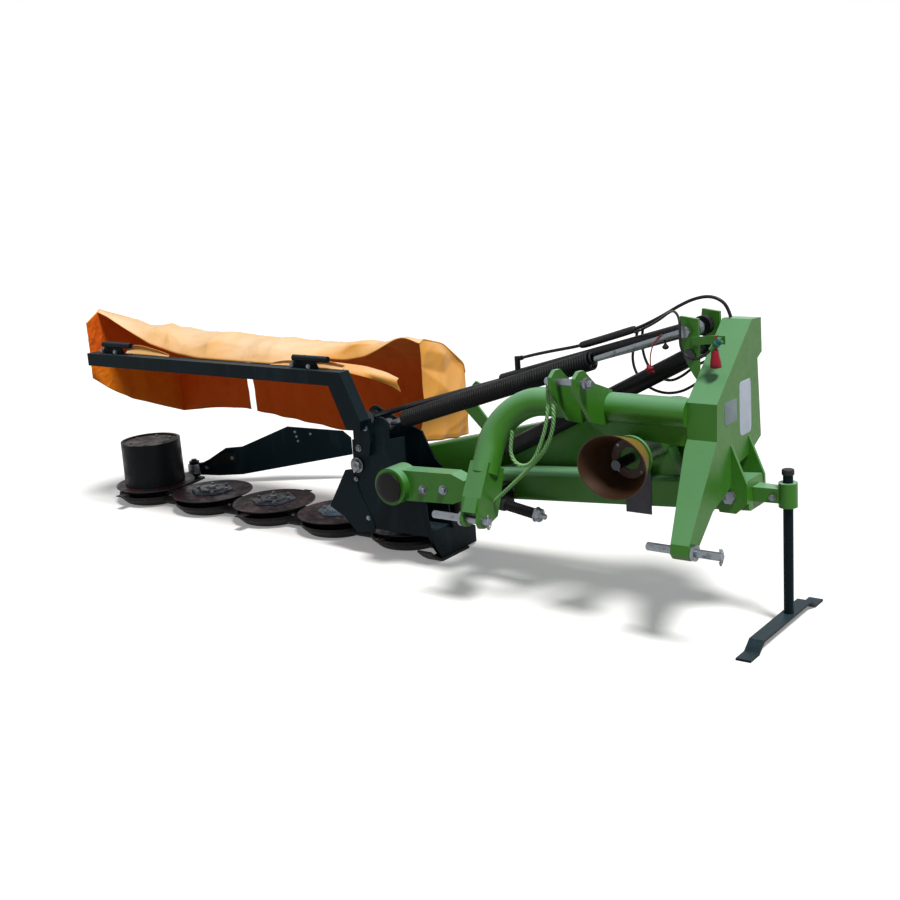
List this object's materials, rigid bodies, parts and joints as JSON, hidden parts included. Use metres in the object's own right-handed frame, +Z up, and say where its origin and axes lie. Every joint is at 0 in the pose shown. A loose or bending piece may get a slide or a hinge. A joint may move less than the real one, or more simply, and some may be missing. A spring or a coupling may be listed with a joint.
{
  "type": "rear-mounted disc mower",
  "caption": "Three-point mounted disc mower parked on its stand: bent-tube headstock, folding cutterbar with drum and cloth canopy.",
  "frame": {"origin": "middle of the whole machine's footprint, on the floor", "axes": "+Z up, -Y forward towards the tractor, +X to the machine's left, cutterbar towards -X"},
  "size_m": [3.6044, 1.2228, 1.1067],
  "materials": {
    "green_paint": "semi-gloss, light wear",
    "dark_paint": "satin",
    "black_paint": "satin",
    "zinc": "zinc plated",
    "orange_cloth": "coated canvas",
    "yellow_plastic": "moulded",
    "disc_steel": "worn primer",
    "black_rubber": "matte",
    "grey_flap": "matte",
    "black_hose": "satin",
    "green_rope": "twisted"
  },
  "bodies": {
    "headstock": {"mast": "green_paint", "hitch_tube": "green_paint", "right_fork": "green_paint", "tube_gusset": "green_paint", "top_link_ears": "green_paint", "hitch_pin_left": "zinc", "hitch_pin_right": "zinc", "top_link_pin": "zinc", "mast_ear_front": "green_paint", "mast_ear_rear": "green_paint", "link_pin": "zinc", "strut_pin": "zinc", "beam": "green_paint", "beam_pivot_plates": "green_paint", "beam_pivot_bolt": "zinc", "hinge_arm": "green_paint", "belt_guard": "green_paint", "guard_brackets": "green_paint", "input_housing": "green_paint", "bell_guard": "yellow_plastic", "drip_plate": "grey_flap", "stand_holder": "green_paint", "float_strut": "black_paint", "strut_lugs": "green_paint", "breakback_latch": "black_paint", "coupler_holder": "green_paint", "hose_coupler": "black_hose", "hose_loop_outer": "black_hose", "hose_loop_inner": "black_hose", "green_rope": "green_rope", "rope_tail": "green_rope"},
    "input": {"input_shaft": "zinc"},
    "stand": {"stand_leg": "dark_paint", "stand_cap": "black_rubber"},
    "fold_barrel": {"fold_barrel": "black_paint", "hose_long": "black_hose"},
    "fold_rod": {"fold_rod": "zinc"},
    "relief_rod": {"relief_rod": "zinc", "relief_spring": "black_paint"},
    "relief_hook": {"relief_hook": "zinc"},
    "bar": {"bar_bracket": "dark_paint", "hinge_pin": "black_paint", "inner_leg": "dark_paint", "inner_shoe": "black_paint", "gearbox": "black_paint", "cutterbar": "black_paint", "skid_shoes": "black_paint", "inner_guard": "dark_paint", "skirt_frame": "dark_paint", "skirt_clamps": "dark_paint", "canopy": "orange_cloth", "board_bracket": "black_paint"},
    "swath_board": {"swath_board": "dark_paint", "board_arm": "black_paint"},
    "disc_1": {"disc_1": "disc_steel"},
    "disc_2": {"disc_2": "disc_steel"},
    "disc_3": {"disc_3": "disc_steel"},
    "disc_4": {"disc_4": "disc_steel"},
    "disc_5": {"disc_5": "disc_steel"}
  },
  "joints": [
    {"name": "bar_fold", "type": "hinge", "parent": "headstock", "child": "bar", "pos_m": [0.1912, -0.33324, 0.353], "axis": [0, 1, 0], "range_deg": [-15, 85]},
    {"name": "fold_swing", "type": "hinge", "parent": "headstock", "child": "fold_barrel", "pos_m": [1.4512, -0.16524, 1.01], "axis": [0, 1, 0], "range_deg": [-4.07, 1.13]},
    {"name": "fold_stroke", "type": "slide", "parent": "fold_barrel", "child": "fold_rod", "axis": [-0.9601, 0, -0.2795], "range_m": [-0.44679, 0.08132]},
    {"name": "relief_swing", "type": "hinge", "parent": "headstock", "child": "relief_rod", "pos_m": [1.4512, -0.23324, 1.01], "axis": [0, 1, 0], "range_deg": [-8.82, 1.97]},
    {"name": "relief_stretch", "type": "slide", "parent": "relief_rod", "child": "relief_hook", "axis": [-0.9509, 0, -0.3094], "range_m": [-0.26428, 0.04911], "deforming": ["relief_spring"]},
    {"name": "stand_slide", "type": "slide", "parent": "headstock", "child": "stand", "axis": [0, 0, 1], "range_m": [0, 0.25]},
    {"name": "board_swing", "type": "hinge", "parent": "bar", "child": "swath_board", "pos_m": [-1.6388, 0.24676, 0.08], "axis": [0, 0, 1], "range_deg": [-5, 40], "stiffness_Nm_per_rad": 60},
    {"name": "input_spin", "type": "hinge", "parent": "headstock", "child": "input", "pos_m": [1.3012, -0.48324, 0.592], "axis": [0, 1, 0], "continuous": true},
    {"name": "disc_1_spin", "type": "hinge", "parent": "bar", "child": "disc_1", "pos_m": [0.0112, -0.04324, 0.082], "axis": [0, 0, 1], "continuous": true},
    {"name": "disc_2_spin", "type": "hinge", "parent": "bar", "child": "disc_2", "pos_m": [-0.3944, -0.04324, 0.082], "axis": [0, 0, 1], "continuous": true},
    {"name": "disc_3_spin", "type": "hinge", "parent": "bar", "child": "disc_3", "pos_m": [-0.8, -0.04324, 0.082], "axis": [0, 0, 1], "continuous": true},
    {"name": "disc_4_spin", "type": "hinge", "parent": "bar", "child": "disc_4", "pos_m": [-1.2056, -0.04324, 0.082], "axis": [0, 0, 1], "continuous": true},
    {"name": "disc_5_spin", "type": "hinge", "parent": "bar", "child": "disc_5", "pos_m": [-1.6112, -0.04324, 0.082], "axis": [0, 0, 1], "continuous": true}
  ],
  "couplings": [
    {"joint": "fold_swing", "follows": "bar_fold", "ratio": -0.041995},
    {"joint": "fold_stroke", "follows": "bar_fold", "m_per_rad": -0.29915},
    {"joint": "relief_swing", "follows": "bar_fold", "ratio": -0.097849},
    {"joint": "relief_stretch", "follows": "bar_fold", "m_per_rad": -0.17612},
    {"joint": "input_spin", "follows": "disc_1_spin", "ratio": 0.18},
    {"joint": "disc_2_spin", "follows": "disc_1_spin", "ratio": -1},
    {"joint": "disc_3_spin", "follows": "disc_1_spin", "ratio": 1},
    {"joint": "disc_4_spin", "follows": "disc_1_spin", "ratio": -1},
    {"joint": "disc_5_spin", "follows": "disc_1_spin", "ratio": 1}
  ]
}
